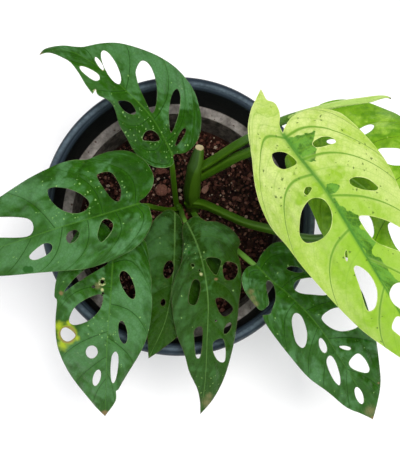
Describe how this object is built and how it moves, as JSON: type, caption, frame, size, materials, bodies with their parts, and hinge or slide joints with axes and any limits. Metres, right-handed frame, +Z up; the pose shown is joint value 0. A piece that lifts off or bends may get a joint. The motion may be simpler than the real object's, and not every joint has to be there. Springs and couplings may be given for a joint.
{
  "type": "potted monstera adansonii",
  "caption": "Potted Swiss cheese vine with holed leaves on long stalks, one lime variegated leaf and a rolled new leaf, in a round nursery pot of grainy mix.",
  "frame": {"origin": "middle of the flat underside of the pot, on the surface that it stands on", "axes": "+Z up along the pot's axis; +X towards the lime variegated leaf; +Y away from the side over which three leaves hang"},
  "size_m": [0.3493, 0.2601, 0.2763],
  "materials": {
    "pot": "dark blue grey moulded plastic, dusty inside",
    "soil": "loose reddish brown bark and fibre granules",
    "stem": "fleshy green stem, satin",
    "stalk": "smooth green leaf stalk, satin",
    "leaf_green": "leathery green leaf with a soft sheen",
    "leaf_lime": "lime yellow leaf with dark green patches beside the midrib",
    "leaf_bright": "bright young green leaf, soft sheen"
  },
  "bodies": {
    "root": {"nursery_pot": "pot", "potting_mix": "soil", "main_stem": "stem", "side_shoot": "stem", "stalk_upper_left": "stalk", "stalk_left": "stalk", "stalk_lower_left": "stalk", "stalk_narrow": "stalk", "stalk_centre": "stalk", "stalk_lower_right": "stalk", "stalk_back": "stalk", "stalk_variegated": "stalk", "leaf_upper_left": "leaf_green", "leaf_left": "leaf_green", "leaf_lower_left": "leaf_green", "leaf_narrow": "leaf_green", "leaf_centre": "leaf_green", "leaf_lower_right": "leaf_green", "leaf_variegated": "leaf_lime", "leaf_back": "leaf_bright", "new_leaf_rolled": "leaf_bright"}
  },
  "joints": []
}
